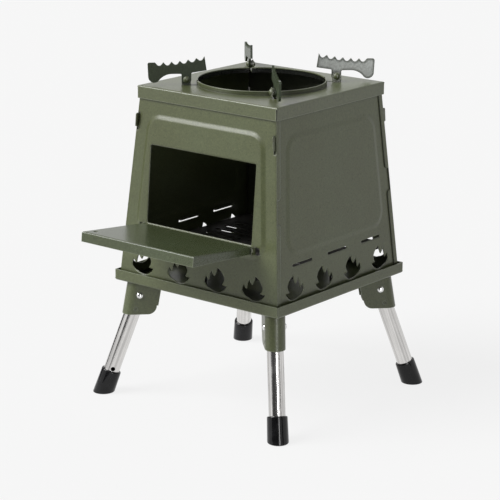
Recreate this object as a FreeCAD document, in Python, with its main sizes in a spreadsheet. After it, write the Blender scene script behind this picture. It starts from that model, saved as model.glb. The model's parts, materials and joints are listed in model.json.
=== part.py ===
import FreeCAD, Part
import math
import os
import re
import Sketcher

# Driving dimensions, in millimetres and degrees
SIZES = {
    # Common to all pieces: how far a cut runs past its piece, and the play of pins in their holes
    "overrun": 5.0,
    "pin_play": 0.06,
    # Base tray, its underside standing this high on the legs
    "tray_base": 131.0,
    "tray_flange": 12.7,
    "tray_sheet": 1.2,
    "tray_bend": 3.0,
    "seam_gap": 0.6,
    "seam_depth": 6.0,
    # Walls, leaning in from the tray to the lid
    "wall_lean_angle": 4.73,
    "wall_sheet": 1.0,
    "wall_gap": 0.2,
    "wall_tray_play": 2.25,
    "wall_edge_round": 0.7,
    # Side flanges of the front and back walls, with a finger notch between their two stretches
    "flange_reach": 6.5,
    "notch_rise": 96.6,
    "notch_height": 25.1,
    "notch_round": 4.0,
    # Hook tabs of the side walls, and their slots in the front and back walls
    "hook_rise": 173.9,
    "hook_height": 15.0,
    "hook_reach": 3.5,
    "hook_round": 1.5,
    "hook_drop": 4.1,
    "hook_play": 1.0,
    "hook_headroom": 29.1,
    # Raised panels pressed into the walls
    "panel_press": 1.8,
    "panel_step": 5.0,
    "panel_round": 20.0,
    "front_panel_inset": 14.5,
    "front_panel_rise": 54.4,
    "front_panel_height": 136.0,
    "side_panel_press": 0.9,
    "side_panel_inset": 16.0,
    "side_panel_rise": 57.5,
    "side_panel_height": 129.4,
    "panel_headroom": 27.6,
    # Flame-shaped vents, and air slots with a lip bent in along their upper edge
    "flame_width": 31.0,
    "flame_height": 25.3,
    "flame_pitch": 52.0,
    "flame_rise": 12.0,
    "slot_length": 34.8,
    "slot_width": 3.0,
    "slot_lip": 3.0,
    "slot_pitch": 62.0,
    "slot_rise": 47.9,
    # Stoking mouth and its door, let down as a shelf
    "mouth_width": 146.6,
    "mouth_height": 86.7,
    "mouth_rise": 70.1,
    "mouth_round": 2.0,
    "mouth_sill": 0.6,
    "mouth_margin": 2.516,
    "door_sheet": 1.2,
    "door_overlap": 4.1,
    "door_cover": 4.9,
    "door_flange": 11.0,
    "door_hinge_flange": 7.5,
    "door_bend": 1.8,
    "door_lift_angle": 1.27,
    "door_play": 0.3,
    "hinge_drop": 3.6,
    "hinge_pin": 2.6,
    "hinge_head": 4.2,
    "hinge_head_height": 1.1,
    "hinge_ear_above": 2.8,
    "hinge_ear_below": 5.2,
    "hinge_ear_window": 5.4,
    "pull_hole": 5.0,
    "pull_hole_side": 8.4,
    "pull_hole_front": 12.0,
    # Fire grate on bent feet
    "grate_sheet": 1.5,
    "grate_rise": 33.8,
    "grate_play": 2.5,
    "grate_slot_length": 52.0,
    "grate_slot_width": 6.0,
    "grate_column_pitch": 62.0,
    "grate_row_pitch": 18.0,
    "grate_foot_width": 16.0,
    # Lid with its pot opening
    "lid_sheet": 1.2,
    "lid_flange": 14.0,
    "lid_bend": 1.8,
    "lid_seam_gap": 1.2,
    "lid_play": 0.5,
    "pot_opening": 140.0,
    "lip_sheet": 1.4,
    "lip_height": 4.0,
    # Pot supports, each beside the diagonal, on a rivet through an ear of the lid with a washer between
    "support_thick": 2.4,
    "support_play": 0.3,
    "support_setback": 13.0,
    "support_aside": 4.6,
    "support_pivot_rise": 6.3,
    "support_leg_half": 5.3,
    "support_arch_start": 15.7,
    "support_arch_rise": 6.3,
    "support_arch_radius": 18.2,
    "support_arch_end": 30.0,
    "support_arch_drop": 0.7,
    "support_lobe_end": 41.5,
    "support_lobe_rise": 2.9,
    "support_lobe_radius": 6.5,
    "support_tip_reach": 42.2,
    "support_tip_round": 2.0,
    "support_flat_end": 34.0,
    "support_flat_rise": 18.8,
    "support_tooth_pitch": 8.95,
    "support_tooth_depth": 5.2,
    "support_tooth_climb": 6.3,
    "support_valley": 2.2,
    "support_arm_reach": 22.0,
    "support_arm_rise": 7.5,
    "support_arm_climb": 2.4,
    "support_arm_round": 1.5,
    "support_rivet": 4.0,
    "support_rivet_head": 7.4,
    "support_rivet_height": 2.4,
    "washer_size": 8.4,
    "washer_thick": 1.6,
    "ear_half": 5.0,
    "ear_sheet": 1.3,
    # Folding legs
    "leg_setback": 26.8,
    "leg_drop": 16.0,
    "leg_tilt_angle": 19.7,
    "leg_tube": 18.0,
    "leg_wall": 1.1,
    "leg_top": 7.0,
    "leg_pin_hole": 5.0,
    "leg_pin_hole_drop": 91.5,
    "leg_play": 0.3,
    "leg_rivet": 5.0,
    "leg_rivet_head": 7.6,
    "leg_rivet_height": 2.2,
    # Channels that carry the legs
    "bracket_sheet": 1.5,
    "bracket_height": 38.0,
    "bracket_depth": 27.0,
    "bracket_slope_angle": 9.6,
    "bracket_play": 0.6,
    "bracket_round": 10.0,
    "dimple_size": 4.2,
    "dimple_depth": 0.5,
    "dimple_side": 4.8,
    "dimple_drop": 15.3,
    "bracket_rivet": 4.0,
    "bracket_rivet_head": 7.0,
    "bracket_rivet_height": 1.4,
    "bracket_rivet_inner": 11.0,
    "bracket_rivet_outer": 4.5,
    # Rubber feet
    "foot_length": 27.6,
    "foot_top": 22.2,
    "foot_bottom": 23.2,
    "foot_sole": 7.0,
    "foot_play": 0.05,
}

# Places that follow from the driving dimensions
PLACES = {
    "hinge_rise": "mouth_rise - mouth_sill - hinge_drop",
    "hinge_out": "panel_press + hinge_drop + door_play",
    "door_half": "mouth_width / 2 + door_overlap",
    "door_length": "mouth_height + mouth_sill + hinge_drop + door_cover",
    "window_half": "door_half + door_play + wall_sheet + hinge_ear_window",
    "panel_half": "window_half + mouth_margin + panel_step",
    "wall_half": "panel_half + front_panel_inset + hinge_rise * sin(wall_lean_angle)",
    "wall_stand": "flange_reach * sin(wall_lean_angle)",
    "wall_length": "max(front_panel_rise + front_panel_height + panel_headroom;"
                   " side_panel_rise + side_panel_height + panel_headroom;"
                   " hook_rise + hook_height + hook_headroom)",
    "wall_rise": "wall_stand + wall_length * cos(wall_lean_angle)",
    "side_inset": "(wall_sheet + wall_gap) / cos(wall_lean_angle)",
    "tray_half": "wall_half + wall_tray_play + tray_sheet",
    "tray_floor": "tray_base + tray_sheet",
    "tray_corner": "tray_half * sqrt(2)",
    "wall_top": "tray_floor + wall_rise",
    "grate_half": "wall_half - side_inset - wall_sheet - grate_rise * tan(wall_lean_angle) - grate_play",
    "lid_inner": "wall_half - (wall_rise - lid_flange) * tan(wall_lean_angle) + lid_play",
    "lid_half": "lid_inner + lid_sheet",
    "pot_radius": "pot_opening / 2",
    "support_reach": "pot_radius + support_setback",
    "support_pivot": "wall_top + lid_sheet + support_pivot_rise",
    "slot_half": "support_thick / 2 + support_play",
    "ear_side": "support_aside - slot_half - washer_thick",
    "leg_reach": "tray_corner - leg_setback",
    "leg_pivot": "tray_base - leg_drop",
    "leg_length": "leg_pivot / cos(leg_tilt_angle)",
    "leg_radius": "leg_tube / 2",
    "bracket_base": "tray_base - bracket_height",
    "bracket_inner": "leg_radius + bracket_play",
    "bracket_outer": "bracket_inner + bracket_sheet",
    "bracket_centre": "leg_reach + (leg_pivot - bracket_base) * tan(leg_tilt_angle)"
                      " + leg_radius / cos(leg_tilt_angle) + leg_play - bracket_inner",
}

# Counts and named turns
FLAMES_PER_WALL = 4
AIR_SLOTS_PER_WALL = 3
GRATE_COLUMNS = 3
GRATE_ROWS = 8
SUPPORT_TEETH = 6
CORNER_ANGLES = {"front_left": 225, "front_right": 315, "back_right": 45, "back_left": 135}

# Where the bracket rivets stand, inward and outward of the leg's pivot
RIVET_REACHES = ("leg_reach - bracket_rivet_inner", "leg_reach + bracket_rivet_outer")

# One flame vent, anticlockwise: across and up as shares of its width and height, and the bend of the
# edge to the next point as a share of its width, positive where it swells and negative where it hollows
FLAME_SHARES = (
    (0.28, 0.00, 0.60),
    (0.70, 0.06, 0.45),
    (1.00, 0.30, 0.35),
    (0.93, 0.57, -0.25),
    (0.80, 0.40, 0.90),
    (0.71, 0.84, -0.35),
    (0.57, 0.62, -0.60),
    (0.46, 1.00, 0.55),
    (0.12, 0.60, 0.35),
    (0.21, 0.33, -0.30),
    (0.00, 0.31, 0.50),
)

HOME = {name: f"Sizes.{name}" for name in SIZES} | {name: f"Places.{name}" for name in PLACES}


def formula(text):
    """The text as an expression, with each size and place named by its sheet."""
    return re.sub(r"[a-z][a-z_]*", lambda word: HOME.get(word[0], word[0]), str(text))


def fill_sheet(name, cells):
    """A sheet with one named row for each cell."""
    sheet = doc.addObject("Spreadsheet::Sheet", name)
    for row, (alias, content) in enumerate(cells.items(), start=1):
        sheet.set(f"A{row}", alias)
        sheet.set(f"B{row}", content)
        sheet.setAlias(f"B{row}", alias)
    doc.recompute()
    return sheet


doc = FreeCAD.newDocument("folding_wood_stove")
sizes = fill_sheet("Sizes", {name: str(size) for name, size in SIZES.items()})
fill_sheet("Places", {name: "=" + formula(text) for name, text in PLACES.items()})


def value(text):
    """What an expression comes to."""
    return float(sizes.evalExpression(formula(text)))


def bind(thing, **texts):
    """Binds properties of an object to expressions."""
    for name, text in texts.items():
        thing.setExpression(name, formula(text))


def place(x="0", y="0", z="0", yaw="0", pitch="0", roll="0"):
    """The expression of a placement."""
    return f"placement(vector({x}; {y}; {z}); rotation({yaw}; {pitch}; {roll}))"


def place_round(turn, reach, height, aside="0", pitch="0", roll="0"):
    """The expression of a placement at a reach from the stove's axis, in the direction of a turn."""
    x = f"({reach}) * cos({turn}) - ({aside}) * sin({turn})"
    y = f"({reach}) * sin({turn}) + ({aside}) * cos({turn})"
    return place(x, y, height, turn, pitch, roll)


def origin_of(body, role):
    """One of a body's own origin planes or axes."""
    return next(feature for feature in body.Origin.OriginFeatures if feature.Role == role)


def new_body(label, where):
    """An empty body with its label and placement."""
    body = doc.addObject("PartDesign::Body", label)
    body.Label = label
    bind(body, Placement=where)
    return body


def new_sketch(body, role="XY_Plane", lift="0", turn="0"):
    """A sketch on one of the body's origin planes, lifted off it and turned in it."""
    sketch = body.newObject("Sketcher::SketchObject", "Sketch")
    sketch.AttachmentSupport = [(origin_of(body, role), "")]
    sketch.MapMode = "FlatFace"
    bind(sketch, AttachmentOffset=place(z=lift, yaw=turn))
    return sketch


def hold(sketch, kind, text, *ends):
    """A dimension of a sketch, bound to an expression."""
    number = sketch.addConstraint(Sketcher.Constraint(kind, *ends, value(text)))
    sketch.setExpression(f"Constraints[{number}]", formula(text))


def arc_between(start, end, bend):
    """The arc from start to end, swelling to the right of that way where bend is positive."""
    chord = end - start
    middle = (start + end) * 0.5
    left = FreeCAD.Vector(-chord.y, chord.x, 0).normalize()
    depth = math.sqrt(bend ** 2 - (chord.Length / 2) ** 2)
    centre = middle + left * math.copysign(depth, bend)
    first, last = (start, end) if bend > 0 else (end, start)
    angles = [math.atan2(point.y - centre.y, point.x - centre.x) for point in (first, last)]
    return Part.ArcOfCircle(Part.Circle(centre, FreeCAD.Vector(0, 0, 1), abs(bend)), *angles)


def outline(sketch, corners):
    """A closed anticlockwise outline. Each corner is (across, up) or (across, up, bend), where bend is
    the radius of the arc to the next corner, negative where it hollows the outline."""
    spots = [FreeCAD.Vector(value(corner[0]), value(corner[1]), 0) for corner in corners]
    base = sketch.GeometryCount
    ends = []
    for index, corner in enumerate(corners):
        start, end = spots[index], spots[(index + 1) % len(spots)]
        bend = value(corner[2]) if len(corner) > 2 else 0
        ends.append((2, 1) if bend < 0 else (1, 2))
        sketch.addGeometry(arc_between(start, end, bend) if bend else Part.LineSegment(start, end))
    for index, corner in enumerate(corners):
        after = (index + 1) % len(corners)
        joined = (base + index, ends[index][1], base + after, ends[after][0])
        sketch.addConstraint(Sketcher.Constraint("Coincident", *joined))
        hold(sketch, "DistanceX", corner[0], -1, 1, base + index, ends[index][0])
        hold(sketch, "DistanceY", corner[1], -1, 1, base + index, ends[index][0])
        if len(corner) > 2:
            hold(sketch, "Radius", f"abs({corner[2]})", base + index)


def rectangle(sketch, left, right, low, high):
    """A rectangle between four sides."""
    outline(sketch, [(left, low), (right, low), (right, high), (left, high)])


def stadium(sketch, across, up, length, width):
    """A slot with round ends, lying across."""
    run = f"({length} - {width}) / 2"
    bend = f"{width} / 2"
    outline(sketch, [
        (f"{across} - {run}", f"{up} - {bend}"),
        (f"{across} + {run}", f"{up} - {bend}", bend),
        (f"{across} + {run} + {bend}", f"{up}", bend),
        (f"{across} + {run}", f"{up} + {bend}"),
        (f"{across} - {run}", f"{up} + {bend}", bend),
        (f"{across} - {run} - {bend}", f"{up}", bend),
    ])


def circle(sketch, radius):
    """A circle about the sketch's origin."""
    number = sketch.addGeometry(Part.Circle(FreeCAD.Vector(), FreeCAD.Vector(0, 0, 1), value(radius)))
    sketch.addConstraint(Sketcher.Constraint("Coincident", number, 3, -1, 1))
    hold(sketch, "Radius", radius, number)


def pad(body, sketch, length, down=False, both=False):
    """Material along the sketch's normal, against it, or to both sides."""
    feature = body.newObject("PartDesign::Pad", "Pad")
    feature.Profile = sketch
    bind(feature, Length=length)
    feature.Reversed = down
    if both:
        feature.SideType = "Symmetric"
    return feature


def pocket(body, sketch, depth=None):
    """A cut of some depth along the sketch's normal, or right through both ways."""
    feature = body.newObject("PartDesign::Pocket", "Pocket")
    feature.Profile = sketch
    feature.Reversed = True
    if depth:
        bind(feature, Length=depth)
    else:
        feature.Type = "ThroughAll"
        feature.SideType = "Symmetric"
    return feature


def drill(body, radius, height, where, adds=False):
    """A round hole, or a round boss, of the body along its placement's own upright."""
    kind = "Additive" if adds else "Subtractive"
    feature = body.newObject(f"PartDesign::{kind}Cylinder", "Drill")
    bind(feature, Radius=radius, Height=height, Placement=where)
    return feature


def around(body, features, count=4):
    """The features repeated about the body's upright axis."""
    pattern = body.newObject("PartDesign::PolarPattern", "PolarPattern")
    pattern.Originals = features
    pattern.Axis = (origin_of(body, "Z_Axis"), [""])
    pattern.Angle = 360
    pattern.Occurrences = count
    body.Tip = pattern
    return pattern


def along(body, features, role, count, pitch):
    """The features repeated along one of the body's axes."""
    pattern = body.newObject("PartDesign::LinearPattern", "LinearPattern")
    pattern.Originals = features
    pattern.Direction = (origin_of(body, role), [""])
    bind(pattern, Length=f"{pitch} * {count - 1}")
    pattern.Occurrences = count
    body.Tip = pattern
    return pattern


def round_edges(body, radius, chosen):
    """A fillet on the edges of the body whose two ends and middle pass a test."""
    doc.recompute()
    base = body.Tip
    names = []
    for number, edge in enumerate(base.Shape.Edges, start=1):
        middle = edge.valueAt((edge.FirstParameter + edge.LastParameter) / 2)
        if all(chosen(point) for point in (edge.firstVertex().Point, edge.lastVertex().Point, middle)):
            names.append(f"Edge{number}")
    fillet = body.newObject("PartDesign::Fillet", "Fillet")
    fillet.Base = (base, names)
    bind(fillet, Radius=radius)
    return fillet


def near(first, second):
    """Whether two measures are the same place."""
    return abs(first - second) < value("pin_play")


def cut_seams(body, corner, low, height, gap):
    """Open seams at the four upright corners of a folded pan."""
    sketch = new_sketch(body, lift=low, turn="45")
    rectangle(sketch, f"{corner} - seam_depth", f"{corner} + overrun", f"-{gap} / 2", f"{gap} / 2")
    around(body, [pocket(body, sketch, height)])


def base_tray():
    """The square tray, folded up from sheet."""
    body = new_body("base_tray", place(z="tray_base"))
    block = new_sketch(body)
    rectangle(block, "-tray_half", "tray_half", "-tray_half", "tray_half")
    pad(body, block, "tray_flange")
    round_edges(body, "tray_bend", lambda point: near(point.z, 0))
    inner = "(tray_half - tray_sheet)"
    hollow = new_sketch(body, lift="tray_sheet")
    rectangle(hollow, f"-{inner}", inner, f"-{inner}", inner)
    pocket(body, hollow, "tray_flange")
    cut_seams(body, "tray_corner", "tray_bend", "tray_flange", "seam_gap")
    for reach in RIVET_REACHES:
        hole = drill(body, "bracket_rivet / 2 + pin_play", "tray_flange",
                     place_round("45", reach, "-overrun"))
        around(body, [hole])
    return body


def wall_edge(rise, inset="0"):
    """Half the width of a wall at some rise along it."""
    return f"(wall_half - {inset} - ({rise}) * sin(wall_lean_angle))"


def draw_panel(sketch, inset, rise, height, edge_inset):
    """The raised panel's rounded outline, its sides following the wall's edges."""
    low_turn = "panel_round * tan(45 + wall_lean_angle / 2)"
    high_turn = "panel_round * tan(45 - wall_lean_angle / 2)"
    top = f"({rise} + {height})"
    low = wall_edge(rise, f"({edge_inset} + {inset})")
    high = wall_edge(top, f"({edge_inset} + {inset})")
    low_side = f"{low} - {low_turn} * sin(wall_lean_angle)"
    low_up = f"{rise} + {low_turn} * cos(wall_lean_angle)"
    high_side = f"{high} + {high_turn} * sin(wall_lean_angle)"
    high_up = f"{top} - {high_turn} * cos(wall_lean_angle)"
    outline(sketch, [
        (f"-({low} - {low_turn})", rise),
        (f"{low} - {low_turn}", rise, "panel_round"),
        (low_side, low_up),
        (high_side, high_up, "panel_round"),
        (f"{high} - {high_turn}", top),
        (f"-({high} - {high_turn})", top, "panel_round"),
        (f"-({high_side})", high_up),
        (f"-({low_side})", low_up, "panel_round"),
    ])


def press_panel(body, press, inset, rise, height, edge_inset):
    """A panel pressed outward, with the same slope outside and inside."""
    slope = f"-atan(panel_step / {press})"
    outer = new_sketch(body)
    draw_panel(outer, inset, rise, height, edge_inset)
    bind(pad(body, outer, press), TaperAngle=slope)
    inner = new_sketch(body, lift="-wall_sheet")
    draw_panel(inner, inset, rise, height, edge_inset)
    bind(pocket(body, inner, press), TaperAngle=slope)


def cut_flames(body, way):
    """The row of flame vents, with their tails to one side or the other."""
    sketch = new_sketch(body)
    middle = f"-flame_pitch * {(FLAMES_PER_WALL - 1) / 2}"
    outline(sketch, [
        (f"{middle} + flame_width * {way * (across - 0.5)}",
         f"flame_rise + flame_height * {up}",
         f"flame_width * {way * bend}")
        for across, up, bend in FLAME_SHARES
    ])
    along(body, [pocket(body, sketch)], "X_Axis", FLAMES_PER_WALL, "flame_pitch")


def place_wall(side, inset):
    """A wall's placement: its own across, up and outward, from the foot of its outer face."""
    reach = f"wall_half - {inset}"
    return place(f"({reach}) * sin({side})", f"-({reach}) * cos({side})", "tray_floor + wall_stand",
                 side, "0", "90 - wall_lean_angle")


def flanged_wall(label, side):
    """The front or back wall: a plate with side flanges, hook slots and flame vents."""
    body = new_body(label, place_wall(side, "0"))
    plate = new_sketch(body)
    low, high = wall_edge("0"), wall_edge("wall_length")
    outline(plate, [(f"-{low}", "0"), (low, "0"), (high, "wall_length"), (f"-{high}", "wall_length")])
    pad(body, plate, "wall_sheet", down=True)
    notch_top = "(notch_rise + notch_height)"
    for start, end in (("0", "notch_rise"), (notch_top, "wall_length")):
        for way in ("", "-"):
            strip = new_sketch(body)
            outer_low, outer_high = wall_edge(start), wall_edge(end)
            inner_low, inner_high = wall_edge(start, "wall_sheet"), wall_edge(end, "wall_sheet")
            outline(strip, [(way + inner_low, start), (way + outer_low, start),
                            (way + outer_high, end), (way + inner_high, end)])
            pad(body, strip, "flange_reach", down=True)
    ends = (value("notch_rise"), value(notch_top))
    reach = value("flange_reach")
    round_edges(body, "notch_round",
                lambda point: near(point.z, -reach) and any(near(point.y, end) for end in ends))
    round_edges(body, "wall_edge_round", lambda point: near(point.z, 0) and near(
        abs(point.x), value(wall_edge(str(point.y)))))
    slot_low, slot_high = "(hook_rise - hook_drop)", "(hook_rise + hook_height + wall_gap)"
    for way in ("", "-"):
        slot = new_sketch(body)
        outer, inner = "wall_sheet", "(2 * wall_sheet + 2 * wall_gap + hook_play)"
        outline(slot, [(way + wall_edge(slot_low, inner), slot_low),
                       (way + wall_edge(slot_low, outer), slot_low),
                       (way + wall_edge(slot_high, outer), slot_high),
                       (way + wall_edge(slot_high, inner), slot_high)])
        pocket(body, slot)
    press_panel(body, "panel_press", "front_panel_inset", "front_panel_rise", "front_panel_height", "0")
    cut_flames(body, -1)
    return body


def front_wall():
    """The front wall, with the stoking mouth and the ears that carry its door."""
    body = flanged_wall("front_wall", "0")
    mouth = new_sketch(body)
    half, top = "mouth_width / 2", "(mouth_rise + mouth_height)"
    outline(mouth, [
        ("-mouth_width / 2 + mouth_round", "mouth_rise"),
        (f"{half} - mouth_round", "mouth_rise", "mouth_round"),
        (half, "mouth_rise + mouth_round"),
        (half, f"{top} - mouth_round", "mouth_round"),
        (f"{half} - mouth_round", top),
        ("-mouth_width / 2 + mouth_round", top, "mouth_round"),
        ("-mouth_width / 2", f"{top} - mouth_round"),
        ("-mouth_width / 2", "mouth_rise + mouth_round", "mouth_round"),
    ])
    pocket(body, mouth)
    low, high = "hinge_rise - hinge_ear_below", "hinge_rise + hinge_ear_above"
    inner = "(door_half + door_play)"
    outer = "(door_half + door_play + wall_sheet)"
    for way in ("", "-"):
        window = new_sketch(body)
        rectangle(window, way + outer, f"{way}({outer} + hinge_ear_window)", low, high)
        pocket(body, window)
        ear = new_sketch(body, lift="panel_press - wall_sheet")
        rectangle(ear, way + inner, way + outer, low, high)
        pad(body, ear, "wall_sheet + hinge_out - panel_press + hinge_ear_above")
    drill(body, "hinge_pin / 2 + pin_play", "2 * (door_half + overrun)",
          place("-door_half - overrun", "hinge_rise", "hinge_out", pitch="90"))
    return body


def side_wall(label, side):
    """The left or right wall: a plate with hook tabs, flame vents and air slots."""
    body = new_body(label, place_wall(side, "side_inset"))
    plate = new_sketch(body)

    def edge(rise, proud="0"):
        return f"{wall_edge(rise, 'side_inset')} + ({proud})"

    hook_top = "(hook_rise + hook_height)"
    proud = "(wall_gap + wall_sheet + hook_reach)"
    right = [
        (edge("0"), "0"),
        (edge("hook_rise"), "hook_rise"),
        (edge("hook_rise", f"{proud} - hook_round"), "hook_rise", "hook_round"),
        (edge("hook_rise", proud), "hook_rise + hook_round"),
        (edge("hook_rise", proud), f"{hook_top} - hook_round", "hook_round"),
        (edge("hook_rise", f"{proud} - hook_round"), hook_top),
        (edge(hook_top), hook_top),
        (edge("wall_length"), "wall_length"),
    ]
    left = [(f"-({across})", up) for across, up, *bend in reversed(right)]
    left[2] += ("hook_round",)
    left[4] += ("hook_round",)
    outline(plate, right + left)
    pad(body, plate, "wall_sheet", down=True)
    press_panel(body, "side_panel_press", "side_panel_inset", "side_panel_rise", "side_panel_height",
                "side_inset")
    cut_flames(body, 1)
    first = f"-slot_pitch * {(AIR_SLOTS_PER_WALL - 1) / 2}"
    slot = new_sketch(body)
    stadium(slot, first, "slot_rise", "slot_length", "slot_width")
    lip = new_sketch(body, lift="-wall_sheet / 2")
    slot_top = "slot_rise + slot_width / 2"
    rectangle(lip, f"{first} - slot_length / 2", f"{first} + slot_length / 2",
              slot_top, f"{slot_top} + wall_sheet")
    features = [pocket(body, slot), pad(body, lip, "wall_sheet / 2 + slot_lip", down=True)]
    along(body, features, "X_Axis", AIR_SLOTS_PER_WALL, "slot_pitch")
    return body


def fire_grate():
    """The slotted grate plate on four bent feet."""
    body = new_body("fire_grate", place(z="tray_floor"))
    plate = new_sketch(body, lift="grate_rise - grate_sheet")
    rectangle(plate, "-grate_half", "grate_half", "-grate_half", "grate_half")
    pad(body, plate, "grate_sheet")
    foot = new_sketch(body)
    rectangle(foot, "grate_half - grate_sheet", "grate_half", "-grate_foot_width / 2", "grate_foot_width / 2")
    around(body, [pad(body, foot, "grate_rise")])
    row = new_sketch(body)
    for column in range(GRATE_COLUMNS):
        stadium(row, f"grate_column_pitch * {column - (GRATE_COLUMNS - 1) / 2}",
                f"-grate_row_pitch * {(GRATE_ROWS - 1) / 2}", "grate_slot_length", "grate_slot_width")
    along(body, [pocket(body, row)], "Y_Axis", GRATE_ROWS, "grate_row_pitch")
    return body


def lid_plate():
    """The lid: a shallow pan upside down, with the pot opening, its lip, and slots and ears for supports."""
    body = new_body("lid_plate", place(z="wall_top"))
    rim = "(lid_sheet - lid_flange)"
    block = new_sketch(body, lift=rim)
    rectangle(block, "-lid_half", "lid_half", "-lid_half", "lid_half")
    pad(body, block, "lid_flange")
    top = value("lid_sheet")
    round_edges(body, "lid_bend", lambda point: near(point.z, top))
    hollow = new_sketch(body, lift=rim)
    rectangle(hollow, "-lid_inner", "lid_inner", "-lid_inner", "lid_inner")
    pocket(body, hollow, "lid_flange - lid_sheet")
    cut_seams(body, "lid_half * sqrt(2)", f"{rim} - overrun", "lid_flange - lid_bend + overrun", "lid_seam_gap")
    lip = new_sketch(body)
    circle(lip, "pot_radius + lip_sheet")
    pad(body, lip, "lid_sheet + lip_height")
    opening = new_sketch(body)
    circle(opening, "pot_radius")
    pocket(body, opening)
    slot = new_sketch(body, turn="45")
    rectangle(slot, "pot_radius - overrun", "support_reach + support_leg_half + support_play",
              "support_aside - slot_half", "support_aside + slot_half")
    ear = new_sketch(body, turn="45")
    rectangle(ear, "support_reach - ear_half", "support_reach + ear_half", "ear_side - ear_sheet", "ear_side")
    axis_rise = "lid_sheet + support_pivot_rise"
    cheek = place_round("45", "support_reach", axis_rise, "ear_side - ear_sheet", roll="-90")
    features = [
        pocket(body, slot),
        pad(body, ear, axis_rise),
        drill(body, "ear_half", "ear_sheet", cheek, adds=True),
        drill(body, "support_rivet / 2 + pin_play", "ear_sheet", cheek),
    ]
    around(body, features)
    return body


def pot_support(corner):
    """A toothed pot support, about its pivot: across is outward from the stove's axis."""
    turn = CORNER_ANGLES[corner]
    body = new_body(f"pot_support_{corner}",
                    place_round(turn, "support_reach", "support_pivot", "support_aside"))
    plate = new_sketch(body, "XZ_Plane")
    leg, arm, arch = "support_leg_half", "support_arm_rise", "support_arch_rise"
    corners = [
        (f"-{leg}", "0", leg),
        ("0", f"-{leg}", leg),
        (leg, "0"),
        (leg, f"{arch} - support_arm_round", "-support_arm_round"),
        (f"{leg} + support_arm_round", arch),
        ("support_arch_start", arch, "-support_arch_radius"),
        ("support_arch_end", "-support_arch_drop", "support_lobe_radius"),
        ("support_lobe_end", "support_lobe_rise"),
        ("support_tip_reach", "support_flat_rise - support_tip_round", "support_tip_round"),
        ("support_tip_reach - support_tip_round", "support_flat_rise"),
        ("support_flat_end", "support_flat_rise"),
    ]
    slope = "2 * support_tooth_depth / support_tooth_pitch"
    for tooth in range(SUPPORT_TEETH):
        across = f"support_flat_end - support_tooth_pitch * {tooth + 0.5}"
        floor = (f"support_flat_rise + support_tooth_climb * {((tooth + 0.5) / SUPPORT_TEETH) ** 2}"
                 f" - support_tooth_depth + support_valley * {slope}")
        corners += [
            (f"{across} + support_valley", floor, f"-support_valley / sin(atan({slope}))"),
            (f"{across} - support_valley", floor),
            (f"{across} - support_tooth_pitch / 2",
             f"support_flat_rise + support_tooth_climb * {((tooth + 1) / SUPPORT_TEETH) ** 2}"),
        ]
    corners += [
        ("-support_arm_reach", f"{arm} + support_arm_climb"),
        (f"-{leg} - support_arm_round", arm, "-support_arm_round"),
        (f"-{leg}", f"{arm} - support_arm_round"),
    ]
    outline(plate, corners)
    pad(body, plate, "support_thick", both=True)
    drill(body, "support_rivet / 2 + pin_play", "support_thick + 2 * overrun",
          place(y="-support_thick / 2 - overrun", roll="-90"))
    return body


def rivet(label, where, grip, shank, head, height):
    """A rivet with a dome at each end, from the foot of its grip upward."""
    body = new_body(label, where)
    profile = new_sketch(body, "XZ_Plane")
    dome = f"(({head}) ^ 2 / 4 + ({height}) ^ 2) / (2 * ({height}))"
    outline(profile, [
        ("0", f"-({height})", dome),
        (f"{head} / 2", "0"),
        (f"{shank} / 2", "0"),
        (f"{shank} / 2", grip),
        (f"{head} / 2", grip, dome),
        ("0", f"{grip} + {height}"),
    ])
    turned = body.newObject("PartDesign::Revolution", "Revolution")
    turned.Profile = profile
    turned.ReferenceAxis = (profile, ["V_Axis"])
    turned.Angle = 360
    return body


def group(label, members):
    """Like pieces under one name, each still a solid of its own."""
    compound = doc.addObject("Part::Compound", label)
    compound.Label = label
    compound.Links = members
    return compound


def pot_support_rivets():
    """The rivets that the pot supports turn on, one through each ear of the lid."""
    start = "ear_side - ear_sheet"
    grip = "ear_sheet + washer_thick + slot_half + support_thick / 2 + support_play"
    return group("pot_support_rivets", [
        rivet(f"support_rivet_{corner}",
              place_round(turn, "support_reach", "support_pivot", start, roll="-90"),
              grip, "support_rivet", "support_rivet_head", "support_rivet_height")
        for corner, turn in CORNER_ANGLES.items()
    ])


def pot_support_washers():
    """The washers that hold the pot supports off the lid's ears."""
    washers = []
    for corner, turn in CORNER_ANGLES.items():
        washer = new_body(f"support_washer_{corner}",
                          place_round(turn, "support_reach", "support_pivot", "ear_side", roll="-90"))
        ring = new_sketch(washer)
        circle(ring, "washer_size / 2")
        circle(ring, "support_rivet / 2 + pin_play")
        pad(washer, ring, "washer_thick")
        washers.append(washer)
    return group("pot_support_washers", washers)


def channel_shift(height):
    """How far the sloping channel leans inward at some height."""
    return f"({height} - bracket_base) * tan(bracket_slope_angle)"


def lean_with_channel(feature):
    """Runs a pad along the channel's slope."""
    feature.UseCustomVector = True
    feature.AlongSketchNormal = True
    feature.Direction = FreeCAD.Vector(0, 0, 1)
    feature.setExpression("Direction.x", formula("-tan(bracket_slope_angle)"))


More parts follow.
